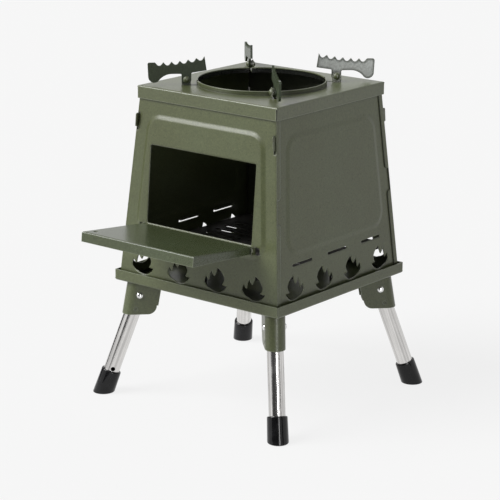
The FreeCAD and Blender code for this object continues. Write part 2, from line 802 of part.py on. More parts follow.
def leg_bracket(corner):
    """A channel under a tray corner, half round outside and open inward, in which a leg folds."""
    body = new_body(f"leg_bracket_{corner}", place(yaw=CORNER_ANGLES[corner]))
    end, centre = "(bracket_centre - bracket_depth)", "bracket_centre"
    channel = new_sketch(body, lift="bracket_base")
    outline(channel, [
        (end, "-bracket_outer"),
        (centre, "-bracket_outer", "bracket_outer"),
        (f"{centre} + bracket_outer", "0", "bracket_outer"),
        (centre, "bracket_outer"),
        (end, "bracket_outer"),
        (end, "bracket_inner"),
        (centre, "bracket_inner", "-bracket_inner"),
        (f"{centre} + bracket_inner", "0", "-bracket_inner"),
        (centre, "-bracket_inner"),
        (end, "-bracket_inner"),
    ])
    lean_with_channel(pad(body, channel, "bracket_height"))
    roof_base = "(tray_base - bracket_sheet)"
    shift = channel_shift(roof_base)
    roof = new_sketch(body, lift=roof_base)
    outline(roof, [
        (f"{end} - {shift}", "-bracket_outer"),
        (f"{centre} - {shift}", "-bracket_outer", "bracket_outer"),
        (f"{centre} - {shift} + bracket_outer", "0", "bracket_outer"),
        (f"{centre} - {shift}", "bracket_outer"),
        (f"{end} - {shift}", "bracket_outer"),
    ])
    lean_with_channel(pad(body, roof, "bracket_sheet"))
    knee = new_sketch(body, "XZ_Plane")
    outline(knee, [
        (f"{end} - bracket_round", "bracket_base - overrun"),
        (f"{end} + bracket_round", "bracket_base - overrun"),
        (f"{end} + bracket_round", "bracket_base", "-bracket_round"),
        (end, "bracket_base + bracket_round"),
        (f"{end} - bracket_round", "bracket_base + bracket_round"),
    ])
    pocket(body, knee)
    width = "2 * (bracket_outer + overrun)"
    drill(body, "leg_rivet / 2 + pin_play", width,
          place("leg_reach", "-bracket_outer - overrun", "leg_pivot", roll="-90"))
    for reach in RIVET_REACHES:
        drill(body, "bracket_rivet / 2 + pin_play", "bracket_sheet + 2 * overrun",
              place(reach, "0", "tray_base - bracket_sheet - overrun"))
    spot = ("leg_reach + dimple_side", "leg_pivot - dimple_drop")
    drill(body, "dimple_size / 2", "dimple_depth + overrun",
          place(spot[0], "bracket_outer - dimple_depth", spot[1], roll="-90"))
    drill(body, "dimple_size / 2", "dimple_depth + overrun",
          place(spot[0], "dimple_depth - bracket_outer", spot[1], roll="90"))
    return body


def place_leg(corner):
    """A leg's placement: its pivot, with its own upright along the tube."""
    return place_round(CORNER_ANGLES[corner], "leg_reach", "leg_pivot", pitch="-leg_tilt_angle")


def leg_tube(corner):
    """A leg's tube, with its pivot hole and the pin hole in one side above the foot."""
    body = new_body(f"leg_tube_{corner}", place_leg(corner))
    ring = new_sketch(body, lift="foot_sole - leg_length")
    circle(ring, "leg_radius")
    circle(ring, "leg_radius - leg_wall")
    pad(body, ring, "leg_length - foot_sole + leg_top")
    drill(body, "leg_rivet / 2 + pin_play", "2 * leg_tube", place(y="-leg_tube", roll="-90"))
    drill(body, "leg_pin_hole / 2", "leg_tube", place(z="-leg_pin_hole_drop", roll="-90"))
    return body


def leg_foot(corner):
    """A rubber cap on a leg's end, its sole level with the ground."""
    body = new_body(f"leg_foot_{corner}", place_leg(corner))
    profile = new_sketch(body, "XZ_Plane")
    deep = "-leg_length - overrun"
    outline(profile, [
        ("0", deep),
        ("foot_bottom / 2", deep),
        ("foot_top / 2", "foot_length - leg_length"),
        ("leg_radius + foot_play", "foot_length - leg_length"),
        ("leg_radius + foot_play", "foot_sole - leg_length"),
        ("0", "foot_sole - leg_length"),
    ])
    turned = body.newObject("PartDesign::Revolution", "Revolution")
    turned.Profile = profile
    turned.ReferenceAxis = (profile, ["V_Axis"])
    turned.Angle = 360
    ground = new_sketch(body, "XZ_Plane")
    fall = "foot_bottom * tan(leg_tilt_angle)"
    outline(ground, [
        ("-foot_bottom", "-leg_length - foot_bottom"),
        ("foot_bottom", "-leg_length - foot_bottom"),
        ("foot_bottom", f"-leg_length - {fall}"),
        ("-foot_bottom", f"-leg_length + {fall}"),
    ])
    pocket(body, ground)
    return body


def leg_pivot_rivets():
    """The rivets that the legs fold on."""
    return group("leg_pivot_rivets", [
        rivet(f"leg_rivet_{corner}",
              place_round(turn, "leg_reach", "leg_pivot", "-bracket_outer", roll="-90"),
              "2 * bracket_outer", "leg_rivet", "leg_rivet_head", "leg_rivet_height")
        for corner, turn in CORNER_ANGLES.items()
    ])


def bracket_rivets():
    """The rivets that hold the brackets to the tray floor."""
    return group("bracket_rivets", [
        rivet(f"bracket_rivet_{corner}", place_round(turn, reach, "tray_base - bracket_sheet"),
              "bracket_sheet + tray_sheet", "bracket_rivet", "bracket_rivet_head", "bracket_rivet_height")
        for corner, turn in CORNER_ANGLES.items()
        for reach in RIVET_REACHES
    ])


def place_hinge(aside="0", yaw="0", pitch="0", roll="0"):
    """A placement on the door's hinge axis, some way aside of the middle."""
    lean = "wall_lean_angle"
    return place(aside,
                 f"hinge_rise * sin({lean}) - wall_half - hinge_out * cos({lean})",
                 f"tray_floor + wall_stand + hinge_rise * cos({lean}) + hinge_out * sin({lean})",
                 yaw, pitch, roll)


def door_panel():
    """The stoking door, a pan folded at the front and sides, about its hinge axis."""
    body = new_body("door_panel", place_hinge(yaw="180", roll="wall_lean_angle + door_lift_angle"))
    under = "(hinge_drop - door_flange)"
    block = new_sketch(body, lift=under)
    rectangle(block, "-door_half", "door_half", "0", "door_length")
    pad(body, block, "door_flange")
    top, half, length = value("hinge_drop"), value("door_half"), value("door_length")
    round_edges(body, "door_bend", lambda point: near(point.z, top) and (
        near(abs(point.x), half) or near(point.y, length)))
    hollow = new_sketch(body, lift=under)
    inner = "(door_half - door_sheet)"
    rectangle(hollow, f"-{inner}", inner, "-overrun", "door_length - door_sheet")
    pocket(body, hollow, "door_flange - door_sheet")
    hinge_under = "(hinge_drop - door_hinge_flange)"
    taper = new_sketch(body, "YZ_Plane")
    outline(taper, [("-overrun", f"{under} - overrun"), ("door_length", f"{under} - overrun"),
                    ("door_length", under), ("0", hinge_under), ("-overrun", hinge_under)])
    pocket(body, taper)
    for near_side in ("door_half - door_sheet", "-door_half"):
        lobe = new_sketch(body, "YZ_Plane", lift=near_side)
        outline(lobe, [("-hinge_drop", hinge_under), ("0", hinge_under),
                       ("0", "hinge_drop", "hinge_drop"), ("-hinge_drop", "0")])
        pad(body, lobe, "door_sheet")
    drill(body, "hinge_pin / 2 + pin_play", "2 * (door_half + overrun)",
          place("-door_half - overrun", pitch="90"))
    drill(body, "pull_hole / 2", "2 * overrun",
          place("door_half - pull_hole_side", "door_length - pull_hole_front", "hinge_drop - overrun"))
    return body


def door_hinge_pins():
    """The two pins that carry the door in the front wall's ears."""
    grip = "door_sheet + door_play + wall_sheet"
    start = "(door_half - door_sheet)"
    return group("door_hinge_pins", [
        rivet(f"hinge_pin_{name}", place_hinge(way + start, pitch=way + "90"),
              grip, "hinge_pin", "hinge_head", "hinge_head_height")
        for name, way in (("right", ""), ("left", "-"))
    ])


def write_nodes(nodes):
    """Checks the document and each piece, then writes each piece to its file."""
    doc.recompute()
    failed = [thing.Name for thing in doc.Objects if {"Invalid", "Error"} & set(thing.State)]
    failed += [node.Label for node in nodes if node.Shape.isNull() or not node.Shape.isValid()]
    if failed:
        raise RuntimeError("not built: " + ", ".join(failed))
    os.makedirs("parts", exist_ok=True)
    for node in nodes:
        node.Shape.exportStep(f"parts/{node.Label}.step")


write_nodes([
    base_tray(),
    front_wall(),
    flanged_wall("back_wall", "180"),
    side_wall("right_wall", "90"),
    side_wall("left_wall", "270"),
    fire_grate(),
    lid_plate(),
    *(pot_support(corner) for corner in CORNER_ANGLES),
    pot_support_rivets(),
    pot_support_washers(),
    *(leg_bracket(corner) for corner in CORNER_ANGLES),
    *(leg_tube(corner) for corner in CORNER_ANGLES),
    *(leg_foot(corner) for corner in CORNER_ANGLES),
    leg_pivot_rivets(),
    bracket_rivets(),
    door_panel(),
    door_hinge_pins(),
])
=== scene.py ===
"""Looks of a folding wood stove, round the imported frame.

Finishes, formed pieces, studio light and camera. Lengths are in metres.
"""
import json
import logging
import math
from abc import ABC, abstractmethod
from dataclasses import dataclass, field
from enum import Enum
from typing import Callable, ClassVar, Sequence

import bmesh
import bpy
from mathutils import Matrix, Vector


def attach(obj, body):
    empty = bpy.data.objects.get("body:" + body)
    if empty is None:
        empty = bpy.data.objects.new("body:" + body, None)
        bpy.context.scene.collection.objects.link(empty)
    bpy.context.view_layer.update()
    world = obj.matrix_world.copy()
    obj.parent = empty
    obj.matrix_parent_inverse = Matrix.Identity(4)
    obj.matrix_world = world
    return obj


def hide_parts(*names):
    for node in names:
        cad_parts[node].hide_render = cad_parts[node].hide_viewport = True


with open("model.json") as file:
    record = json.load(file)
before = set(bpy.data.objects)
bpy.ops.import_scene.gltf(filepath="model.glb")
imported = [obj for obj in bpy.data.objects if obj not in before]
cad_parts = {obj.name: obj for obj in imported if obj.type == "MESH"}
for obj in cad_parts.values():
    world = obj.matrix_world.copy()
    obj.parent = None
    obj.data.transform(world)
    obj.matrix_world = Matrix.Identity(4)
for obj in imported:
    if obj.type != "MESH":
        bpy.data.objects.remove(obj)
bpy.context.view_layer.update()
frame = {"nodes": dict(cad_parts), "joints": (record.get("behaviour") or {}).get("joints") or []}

log = logging.getLogger("stove")

Colour = tuple[float, float, float]
Direction = tuple[float, float, float]
Span = tuple[float, float]
Input = bpy.types.NodeSocket | float | Sequence[float]

WHITE_PAPER: Colour = (0.922, 0.922, 0.922)
# Near-black colour of the painted shade inside the stove.
SHADE_BLACK: Colour = (0.010, 0.011, 0.009)
DOWN: Direction = (0.0, 0.0, -1.0)
NOISE_SPAN: Span = (0.3, 0.7)
WHOLE_SPAN: Span = (0.0, 1.0)
SHARP_ANGLE = math.radians(40.0)


class Corner(Enum):
    """The stove's four corners, each with the turn of its diagonal in degrees."""

    FRONT_LEFT = 225
    FRONT_RIGHT = 315
    BACK_RIGHT = 45
    BACK_LEFT = 135

    @property
    def label(self) -> str:
        """The corner's name as the frame's nodes write it."""
        return self.name.lower()

    @property
    def turn(self) -> float:
        """The turn of the corner's diagonal, in radians."""
        return math.radians(self.value)

    @property
    def along(self) -> Vector:
        """The level direction across the diagonal, anticlockwise seen from above."""
        return Vector((-math.sin(self.turn), math.cos(self.turn), 0.0))


class Side(Enum):
    """The four walls' nodes, each with the direction that it turns to the fire."""

    FRONT = ("front_wall", (0.0, 1.0, 0.0))
    BACK = ("back_wall", (0.0, -1.0, 0.0))
    LEFT = ("left_wall", (1.0, 0.0, 0.0))
    RIGHT = ("right_wall", (-1.0, 0.0, 0.0))

    @property
    def node(self) -> str:
        """The wall's node in the frame."""
        return self.value[0]

    @property
    def inward(self) -> Direction:
        """The direction from the wall to the fire."""
        return self.value[1]


class NodeSheet:
    """A node tree that is filled one node at a time."""

    def __init__(self, tree: bpy.types.NodeTree) -> None:
        """Empties a tree.

        Args:
            tree: The node tree of a material or of the world.
        """
        self.tree = tree
        self.tree.nodes.clear()

    def add(self, kind: str, inputs: dict[str | int, Input] | None = None,
            **settings: object) -> bpy.types.Node:
        """Adds one node.

        Args:
            kind: The node's type name.
            inputs: What goes into its sockets, by name or number: sockets or plain values.
            **settings: The node's own properties.

        Returns:
            The new node.
        """
        node = self.tree.nodes.new(kind)
        for name, setting in settings.items():
            setattr(node, name, setting)
        for key, source in (inputs or {}).items():
            if isinstance(source, bpy.types.NodeSocket):
                self.tree.links.new(source, node.inputs[key])
            else:
                node.inputs[key].default_value = source
        return node

    def noise(self, where: bpy.types.NodeSocket, scale: float,
              detail: float = 2.0) -> bpy.types.NodeSocket:
        """Adds a noise.

        Args:
            where: The point that it is read at.
            scale: Its features to the metre.
            detail: Its finer layers.

        Returns:
            Its value, from 0 to 1.
        """
        inputs = {"Vector": where, "Scale": scale, "Detail": detail}
        return self.add("ShaderNodeTexNoise", inputs).outputs[0]

    def remap(self, value: bpy.types.NodeSocket, start: Span, end: Span) -> bpy.types.NodeSocket:
        """Adds a change of range, held at its ends.

        Args:
            value: The value to change.
            start: Its two ends before.
            end: The two ends after.

        Returns:
            The changed value.
        """
        inputs = {0: value, 1: start[0], 2: start[1], 3: end[0], 4: end[1]}
        return self.add("ShaderNodeMapRange", inputs).outputs[0]

    def combined(self, operation: str, first: Input, second: Input) -> bpy.types.NodeSocket:
        """Adds a calculation with two values.

        Args:
            operation: What is done with them, by Blender's name.
            first: The first value.
            second: The second value.

        Returns:
            The result.
        """
        return self.add("ShaderNodeMath", {0: first, 1: second}, operation=operation).outputs[0]

    def scaled(self, colour: Input, share: bpy.types.NodeSocket) -> bpy.types.NodeSocket:
        """Adds a colour made darker or paler.

        Args:
            colour: The colour.
            share: How much of it stays.

        Returns:
            The changed colour.
        """
        inputs = {0: colour, "Scale": share}
        return self.add("ShaderNodeVectorMath", inputs, operation="SCALE").outputs[0]

    def mixed(self, share: bpy.types.NodeSocket, first: Input,
              second: Input) -> bpy.types.NodeSocket:
        """Adds a mixture of two colours.

        Args:
            share: How much of the second one there is.
            first: The first colour.
            second: The second colour.

        Returns:
            The mixture.
        """
        ends = [(*end, 1.0) if isinstance(end, tuple) else end for end in (first, second)]
        inputs = {0: share, 6: ends[0], 7: ends[1]}
        return self.add("ShaderNodeMix", inputs, data_type="RGBA").outputs[2]

    def facing(self, normal: bpy.types.NodeSocket, direction: Input) -> bpy.types.NodeSocket:
        """Adds how far a surface is turned to a direction, from -1 to 1.

        Args:
            normal: The surface's normal.
            direction: The direction, or another normal.

        Returns:
            The cosine between them.
        """
        inputs = {0: normal, 1: direction}
        return self.add("ShaderNodeVectorMath", inputs, operation="DOT_PRODUCT").outputs["Value"]

    def seen(self) -> bpy.types.NodeSocket:
        """Adds a switch that is 1 for rays from the camera and for mirrored and passing rays."""
        path = self.add("ShaderNodeLightPath").outputs
        mirrored = self.combined("MAXIMUM", path["Is Camera Ray"], path["Is Glossy Ray"])
        return self.combined("MAXIMUM", mirrored, path["Is Transmission Ray"])


class SurfaceSheet(NodeSheet):
    """The node tree of one finish, ending in a surface."""

    EDGE_SPAN: ClassVar[Span] = (0.985, 0.80)
    CREVICE_SPAN: ClassVar[Span] = (0.35, 0.95)
    CREVICE_TONE: ClassVar[Span] = (0.25, 1.0)
    CREVICE_SAMPLES: ClassVar[int] = 6
    SOFT_SAMPLES: ClassVar[int] = 8

    def __init__(self, name: str) -> None:
        """Starts a material.

        Args:
            name: The material's name.
        """
        self.material = bpy.data.materials.new(name)
        self.material.use_nodes = True
        super().__init__(self.material.node_tree)
        coordinates = self.add("ShaderNodeTexCoord").outputs
        self.where = coordinates["Object"]
        self.normal = coordinates["Normal"]

    def edges(self, width: float, samples: int) -> bpy.types.NodeSocket:
        """Adds a mask that is 1 on outer and inner edges.

        Args:
            width: How wide the edge is, in metres.
            samples: How often it is felt for.

        Returns:
            The mask.
        """
        rounded = self.add("ShaderNodeBevel", {"Radius": width}, samples=samples).outputs[0]
        flat = self.add("ShaderNodeNewGeometry").outputs["Normal"]
        return self.remap(self.facing(flat, rounded), self.EDGE_SPAN, WHOLE_SPAN)

    def crevices(self, reach: float) -> bpy.types.NodeSocket:
        """Adds painted shade in narrow gaps and inner corners, read from ambient occlusion.

        Args:
            reach: How far the gap's other side is felt, in metres.

        Returns:
            How much of the colour stays.
        """
        felt = self.add("ShaderNodeAmbientOcclusion", {"Distance": reach},
                        samples=self.CREVICE_SAMPLES)
        return self.remap(felt.outputs["AO"], self.CREVICE_SPAN, self.CREVICE_TONE)

    def bumped(self, height: bpy.types.NodeSocket, strength: float, depth: float,
               soft: float = 0.0) -> bpy.types.NodeSocket:
        """Adds a fine relief.

        Args:
            height: The relief, from 0 to 1.
            strength: How much of it shows.
            depth: Its depth, in metres.
            soft: How far the bends under it are rounded, in metres.

        Returns:
            The changed normal.
        """
        values = {"Strength": strength, "Distance": depth, "Height": height}
        if soft:
            rounded = self.add("ShaderNodeBevel", {"Radius": soft}, samples=self.SOFT_SAMPLES)
            values["Normal"] = rounded.outputs[0]
        return self.add("ShaderNodeBump", values).outputs[0]

    def surface(self, **inputs: Input) -> bpy.types.Material:
        """Ends the tree in one surface.

        Args:
            **inputs: What goes into its sockets, their names written with underscores.

        Returns:
            The finished material.
        """
        sockets = {name.replace("_", " "): value for name, value in inputs.items()}
        shader = self.add("ShaderNodeBsdfPrincipled", sockets)
        self.add("ShaderNodeOutputMaterial", {"Surface": shader.outputs[0]})
        return self.material


@dataclass(frozen=True)
class Tint(ABC):
    """Another colour on part of a coat, which paints light or shade there, such as painted shade on
    the faces towards the fire.
    """

    colour: Colour
    roughness: float
    strength: float = 1.0

    @abstractmethod
    def share(self, sheet: SurfaceSheet) -> bpy.types.NodeSocket:
        """Adds how much of the tint there is at a point.

        Args:
            sheet: The coat's tree.

        Returns:
            The share.
        """


@dataclass(frozen=True)
class SideTint(Tint):
    """A tint of the faces that turn one way."""

    direction: Direction = DOWN
    fade: Span = (0.35, 0.65)

    def share(self, sheet: SurfaceSheet) -> bpy.types.NodeSocket:
        """Adds the share, from the surface's own normal."""
        turned = sheet.facing(sheet.normal, self.direction)
        return sheet.remap(turned, self.fade, (0.0, self.strength))


@dataclass(frozen=True)
class FaceTint(Tint):
    """A tint of a broad face that leaves a rim of the coat along its edges."""

    direction: Direction = DOWN
    fade: Span = (0.86, 0.99)
    rim: float = 0.0052
    samples: int = 6

    def share(self, sheet: SurfaceSheet) -> bpy.types.NodeSocket:
        """Adds the share, from a normal that is rounded along the edges."""
        rounded = sheet.add("ShaderNodeBevel", {"Radius": self.rim}, samples=self.samples)
        turned = sheet.facing(rounded.outputs[0], self.direction)
        return sheet.remap(turned, self.fade, (0.0, self.strength))


@dataclass(frozen=True)
class CoreTint(Tint):
    """A tint of what lies nearer to the stove's upright middle line than a radius."""

    radius: float = 0.07
    fade: float = 0.0003

    def share(self, sheet: SurfaceSheet) -> bpy.types.NodeSocket:
        """Adds the share, from the way to the middle line."""
        level = {0: sheet.where, 1: (1.0, 1.0, 0.0)}
        flat = sheet.add("ShaderNodeVectorMath", level, operation="MULTIPLY").outputs[0]
        away = sheet.add("ShaderNodeVectorMath", {0: flat}, operation="LENGTH").outputs["Value"]
        return sheet.remap(away, (self.radius, self.radius + self.fade), (self.strength, 0.0))


@dataclass(frozen=True)
class OliveCoat:
    """Satin olive powder coat: fine grain, faint clouds, a painted highlight along its edges and
    painted shade in its crevices.
    """

    name: str = "olive_coat"
    colour: Colour = (0.0770, 0.0870, 0.0375)
    cloud_share: float = 0.5
    cloud_tone: Colour = (0.90, 0.98, 1.15)
    # Painted highlight: a pale colour mixed in along outer and inner edges.
    edge_colour: Colour = (0.26, 0.28, 0.21)
    edge_width: float = 0.0011
    edge_strength: float = 0.75
    edge_samples: int = 4
    roughness: float = 0.32
    roughness_swing: float = 0.05
    gloss: float = 0.5
    cloud_scale: float = 14.0
    cloud_light: Span = (0.92, 1.08)
    grain_scale: float = 1300.0
    grain_light: Span = (0.84, 1.16)
    peel_scale: float = 480.0
    peel_light: Span = (0.86, 1.14)
    relief: float = 0.00012
    relief_strength: float = 0.35
    crevice: float = 0.004
    soft: float = 0.0
    tints: tuple[Tint, ...] = ()

    def material(self) -> bpy.types.Material:
        """Makes the coat's material.

        Returns:
            The material.
        """
        sheet = SurfaceSheet(self.name)
        cloud = sheet.noise(sheet.where, self.cloud_scale)
        grain = sheet.noise(sheet.where, self.grain_scale)
        peel = sheet.noise(sheet.where, self.peel_scale)
        speck = sheet.combined("MULTIPLY", sheet.remap(grain, NOISE_SPAN, self.grain_light),
                               sheet.remap(peel, NOISE_SPAN, self.peel_light))
        unshaded = sheet.combined("MULTIPLY", sheet.remap(cloud, NOISE_SPAN, self.cloud_light), speck)
        # Painted shade: the coat's colour is darkened in gaps and inner corners.
        tone = sheet.combined("MULTIPLY", unshaded, sheet.crevices(self.crevice))
        # Painted highlight: edges are mixed towards a pale colour.
        edge = sheet.edges(self.edge_width, self.edge_samples)
        edge_highlight = sheet.combined("MULTIPLY", edge, self.edge_strength)
        cool = tuple(part * change for part, change in zip(self.colour, self.cloud_tone))
        cooled = sheet.remap(cloud, NOISE_SPAN, (0.0, self.cloud_share))
        hue = sheet.mixed(cooled, self.colour, cool)
        colour = sheet.mixed(edge_highlight, sheet.scaled(hue, tone), self.edge_colour)
        swing = (self.roughness - self.roughness_swing, self.roughness + self.roughness_swing)
        roughness = sheet.remap(grain, NOISE_SPAN, swing)
        for tint in self.tints:
            share = tint.share(sheet)
            colour = sheet.mixed(share, colour, sheet.scaled(tint.colour, tone))
            rougher = sheet.combined("MULTIPLY", share, tint.roughness - self.roughness)
            roughness = sheet.combined("ADD", roughness, rougher)
        height = sheet.combined("ADD", grain, peel)
        normal = sheet.bumped(height, self.relief_strength, self.relief, self.soft)
        return sheet.surface(Base_Color=colour, Roughness=roughness, Normal=normal,
                             Specular_IOR_Level=self.gloss)


@dataclass(frozen=True)
class BurntSteel:
    """Steel plate blackened by fire, with ash-grey patches."""

    name: str = "burnt_steel"
    colour: Colour = (0.030, 0.029, 0.027)
    ash: Colour = (0.11, 0.105, 0.10)
    patch_scale: float = 45.0
    patch_detail: float = 4.0
    patch_span: Span = (0.48, 0.72)
    grain_scale: float = 900.0
    roughness: Span = (0.42, 0.75)
    metallic: float = 0.5
    relief: float = 0.0001
    relief_strength: float = 0.3

    def material(self) -> bpy.types.Material:
        """Makes the plate's material.

        Returns:
            The material.
        """
        sheet = SurfaceSheet(self.name)
        patch = sheet.noise(sheet.where, self.patch_scale, self.patch_detail)
        grain = sheet.noise(sheet.where, self.grain_scale)
        share = sheet.combined("MULTIPLY", sheet.remap(patch, self.patch_span, WHOLE_SPAN), grain)
        roughness = sheet.remap(patch, NOISE_SPAN, self.roughness)
        return sheet.surface(Base_Color=sheet.mixed(share, self.colour, self.ash),
                             Roughness=roughness, Metallic=self.metallic,
                             Normal=sheet.bumped(grain, self.relief_strength, self.relief))


@dataclass(frozen=True)
class DrawnSteel:
    """Bright drawn steel tube, with fine streaks along it, broad darker bands along it that are
    partly drawn-steel banding and partly painted reflection, and faint handling marks.
    """

    name: str
    lie: Matrix
    colour: Colour = (0.735, 0.722, 0.705)
    streak_stretch: float = 0.012
    streak_scale: float = 1400.0
    streak_detail: float = 3.0
    streak_span: Span = (0.35, 0.65)
    streak_light: Span = (0.86, 1.05)
    band_scale: float = 330.0
    band_detail: float = 1.0
    band_span: Span = (0.36, 0.60)
    band_light: Span = (0.74, 1.03)
    mark_scale: float = 60.0
    mark_detail: float = 4.0
    mark_span: Span = (0.35, 0.7)
    mark_light: Span = (0.94, 1.04)
    roughness: Span = (0.12, 0.21)
    scuff_span: Span = (0.5, 0.75)
    scuff_roughness: Span = (0.0, 0.08)
    relief: float = 0.00005
    relief_strength: float = 0.12

    def material(self) -> bpy.types.Material:
        """Makes the tube's material.

        Returns:
            The material.
        """
        sheet = SurfaceSheet(self.name)
        turn = self.lie.to_3x3().inverted().to_euler()
        turned = {"Vector": sheet.where, "Rotation": turn}
        upright = sheet.add("ShaderNodeMapping", turned).outputs[0]
        stretch = {"Vector": upright, "Scale": (1.0, 1.0, self.streak_stretch)}
        drawn = sheet.add("ShaderNodeMapping", stretch).outputs[0]
        streak = sheet.noise(drawn, self.streak_scale, self.streak_detail)
        band = sheet.noise(drawn, self.band_scale, self.band_detail)
        mark = sheet.noise(sheet.where, self.mark_scale, self.mark_detail)
        fine = sheet.combined("MULTIPLY", sheet.remap(streak, self.streak_span, self.streak_light),
                              sheet.remap(mark, self.mark_span, self.mark_light))
        # The broad bands are partly drawn-steel banding and partly painted reflection.
        banded = sheet.remap(band, self.band_span, self.band_light)
        tone = sheet.combined("MULTIPLY", fine, banded)
        roughness = sheet.combined("ADD", sheet.remap(streak, NOISE_SPAN, self.roughness),
                                   sheet.remap(mark, self.scuff_span, self.scuff_roughness))
        return sheet.surface(Base_Color=sheet.scaled(self.colour, tone), Metallic=1.0,
                             Roughness=roughness,
                             Normal=sheet.bumped(streak, self.relief_strength, self.relief))


@dataclass(frozen=True)
class BrightRivet:
    """Bright rivet steel with the fine scratches of its setting tool."""

    name: str = "bright_rivet"
    colour: Colour = (0.78, 0.78, 0.77)
    scratch_scale: float = 2200.0
    scratch_detail: float = 3.0
    scratch_light: Span = (0.86, 1.05)
    roughness: Span = (0.16, 0.30)
    relief: float = 0.00005
    relief_strength: float = 0.1

    def material(self) -> bpy.types.Material:
        """Makes the rivet's material.

        Returns:
            The material.
        """
        sheet = SurfaceSheet(self.name)
        scratch = sheet.noise(sheet.where, self.scratch_scale, self.scratch_detail)
        tone = sheet.remap(scratch, NOISE_SPAN, self.scratch_light)
        return sheet.surface(Base_Color=sheet.scaled(self.colour, tone), Metallic=1.0,
                             Roughness=sheet.remap(scratch, NOISE_SPAN, self.roughness),
                             Normal=sheet.bumped(scratch, self.relief_strength, self.relief))


@dataclass(frozen=True)
class MouldedRubber:
    """Smooth black moulded rubber with a little bloom."""

    name: str = "moulded_rubber"
    colour: Colour = (0.0045, 0.0045, 0.005)
    bloom: Colour = (0.010, 0.010, 0.011)
    bloom_scale: float = 120.0
    bloom_detail: float = 3.0
    bloom_span: Span = (0.4, 0.75)
    grain_scale: float = 1800.0
    gloss: float = 0.3
    roughness: Span = (0.06, 0.12)
    relief: float = 0.00004
    relief_strength: float = 0.08

    def material(self) -> bpy.types.Material:
        """Makes the rubber's material.

        Returns:
            The material.
        """
        sheet = SurfaceSheet(self.name)
        cloud = sheet.noise(sheet.where, self.bloom_scale, self.bloom_detail)
        grain = sheet.noise(sheet.where, self.grain_scale)
        share = sheet.remap(cloud, self.bloom_span, WHOLE_SPAN)
        return sheet.surface(Base_Color=sheet.mixed(share, self.colour, self.bloom),
                             Roughness=sheet.remap(cloud, NOISE_SPAN, self.roughness),
                             Specular_IOR_Level=self.gloss,
                             Normal=sheet.bumped(grain, self.relief_strength, self.relief))


@dataclass(frozen=True)
class FloorPaper:
    """Pale studio paper, which the camera sees near white with a soft shadow."""

    name: str = "floor_paper"
    colour: Colour = WHITE_PAPER
    shadow_share: float = 0.09

    def material(self) -> bpy.types.Material:
        """Makes the paper's material.

        Returns:
            The material.
        """
        sheet = SurfaceSheet(self.name)
        lit = sheet.add("ShaderNodeBsdfDiffuse", {"Color": (*self.colour, 1.0)}).outputs[0]
        glow = {"Color": (*self.colour, 1.0), "Strength": 1.0}
        even = sheet.add("ShaderNodeEmission", glow).outputs[0]
        share = sheet.combined("MULTIPLY", sheet.seen(), 1.0 - self.shadow_share)
        mixed = sheet.add("ShaderNodeMixShader", {0: share, 1: lit, 2: even}).outputs[0]
        sheet.add("ShaderNodeOutputMaterial", {"Surface": mixed})
        return sheet.material


class Finishes:
    """The finishes that several sub-assemblies share, each made once."""

    def __init__(self) -> None:
        """Makes the shared materials."""
        self.coat = OliveCoat().material()
        self.burnt = BurntSteel().material()
        self.rivet = BrightRivet().material()
        self.rubber = MouldedRubber().material()


def dress_node(node: str, material: bpy.types.Material) -> None:
    """Gives a node of the frame its finish.

    Args:
        node: The node's name.
        material: The finish.
    """
    piece = frame["nodes"][node]
    if not piece.material_slots:
        piece.data.materials.append(material)
    for slot in piece.material_slots:
        slot.material = material
    log.info("dressed %s in %s", node, material.name)


def joint_place(name: str) -> Vector:
    """The place of one of the frame's joints.

    Args:
        name: The joint's name.

    Returns:
        A point on its axis.
    """
    return Vector(next(joint["pos_m"] for joint in frame["joints"] if joint["name"] == name))


def add_object(name: str, data: bpy.types.ID) -> bpy.types.Object:
    """Makes an object and puts it into the scene.

    Args:
        name: Its name.
        data: Its mesh, lamp or camera.

    Returns:
        The new object.
    """
    thing = bpy.data.objects.new(name, data)
    bpy.context.scene.collection.objects.link(thing)
    return thing


def new_piece(name: str, mesh: bmesh.types.BMesh, body: str,
              material: bpy.types.Material) -> bpy.types.Object:
    """Turns a built mesh into a piece of the stove.

    Args:
        name: The piece's name.
        mesh: Its mesh, in the frame's place.
        body: The body that carries it.
        material: Its finish.

    Returns:
        The new object.
    """
    bmesh.ops.recalc_face_normals(mesh, faces=mesh.faces)
    data = bpy.data.meshes.new(name)
    mesh.to_mesh(data)
    mesh.free()
    data.materials.append(material)
    data.shade_smooth()
    data.set_sharp_from_angle(angle=SHARP_ANGLE)
    piece = add_object(name, data)
    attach(piece, body)
    log.info("built %s on %s", name, body)
    return piece


def skin_rings(mesh: bmesh.types.BMesh, rings: Sequence[Sequence[Vector]]) -> None:
    """Lays a skin over rings of points, with a cap at each end.

    Args:
        mesh: The mesh that gets it.
        rings: The rings in order, with as many points each.
    """
    rows = [[mesh.verts.new(point) for point in ring] for ring in rings]
    mesh.faces.new(rows[0])
    mesh.faces.new(reversed(rows[-1]))
    for row, after in zip(rows, rows[1:]):
        for index in range(len(row)):
            nearby = (index + 1) % len(row)
            mesh.faces.new((row[index], row[nearby], after[nearby], after[index]))


@dataclass
class Base:
    """The tray, the grate that stands in it and the rivets under it."""

    finishes: Finishes
    coated: tuple[str, ...] = ("base_tray",)
    burnt: tuple[str, ...] = ("fire_grate",)
    riveted: tuple[str, ...] = ("bracket_rivets", "leg_pivot_rivets")

    def dress(self) -> None:
        """Gives the pieces their finishes."""
        for nodes, material in ((self.coated, self.finishes.coat),
                                (self.burnt, self.finishes.burnt),
                                (self.riveted, self.finishes.rivet)):
            for node in nodes:
                dress_node(node, material)


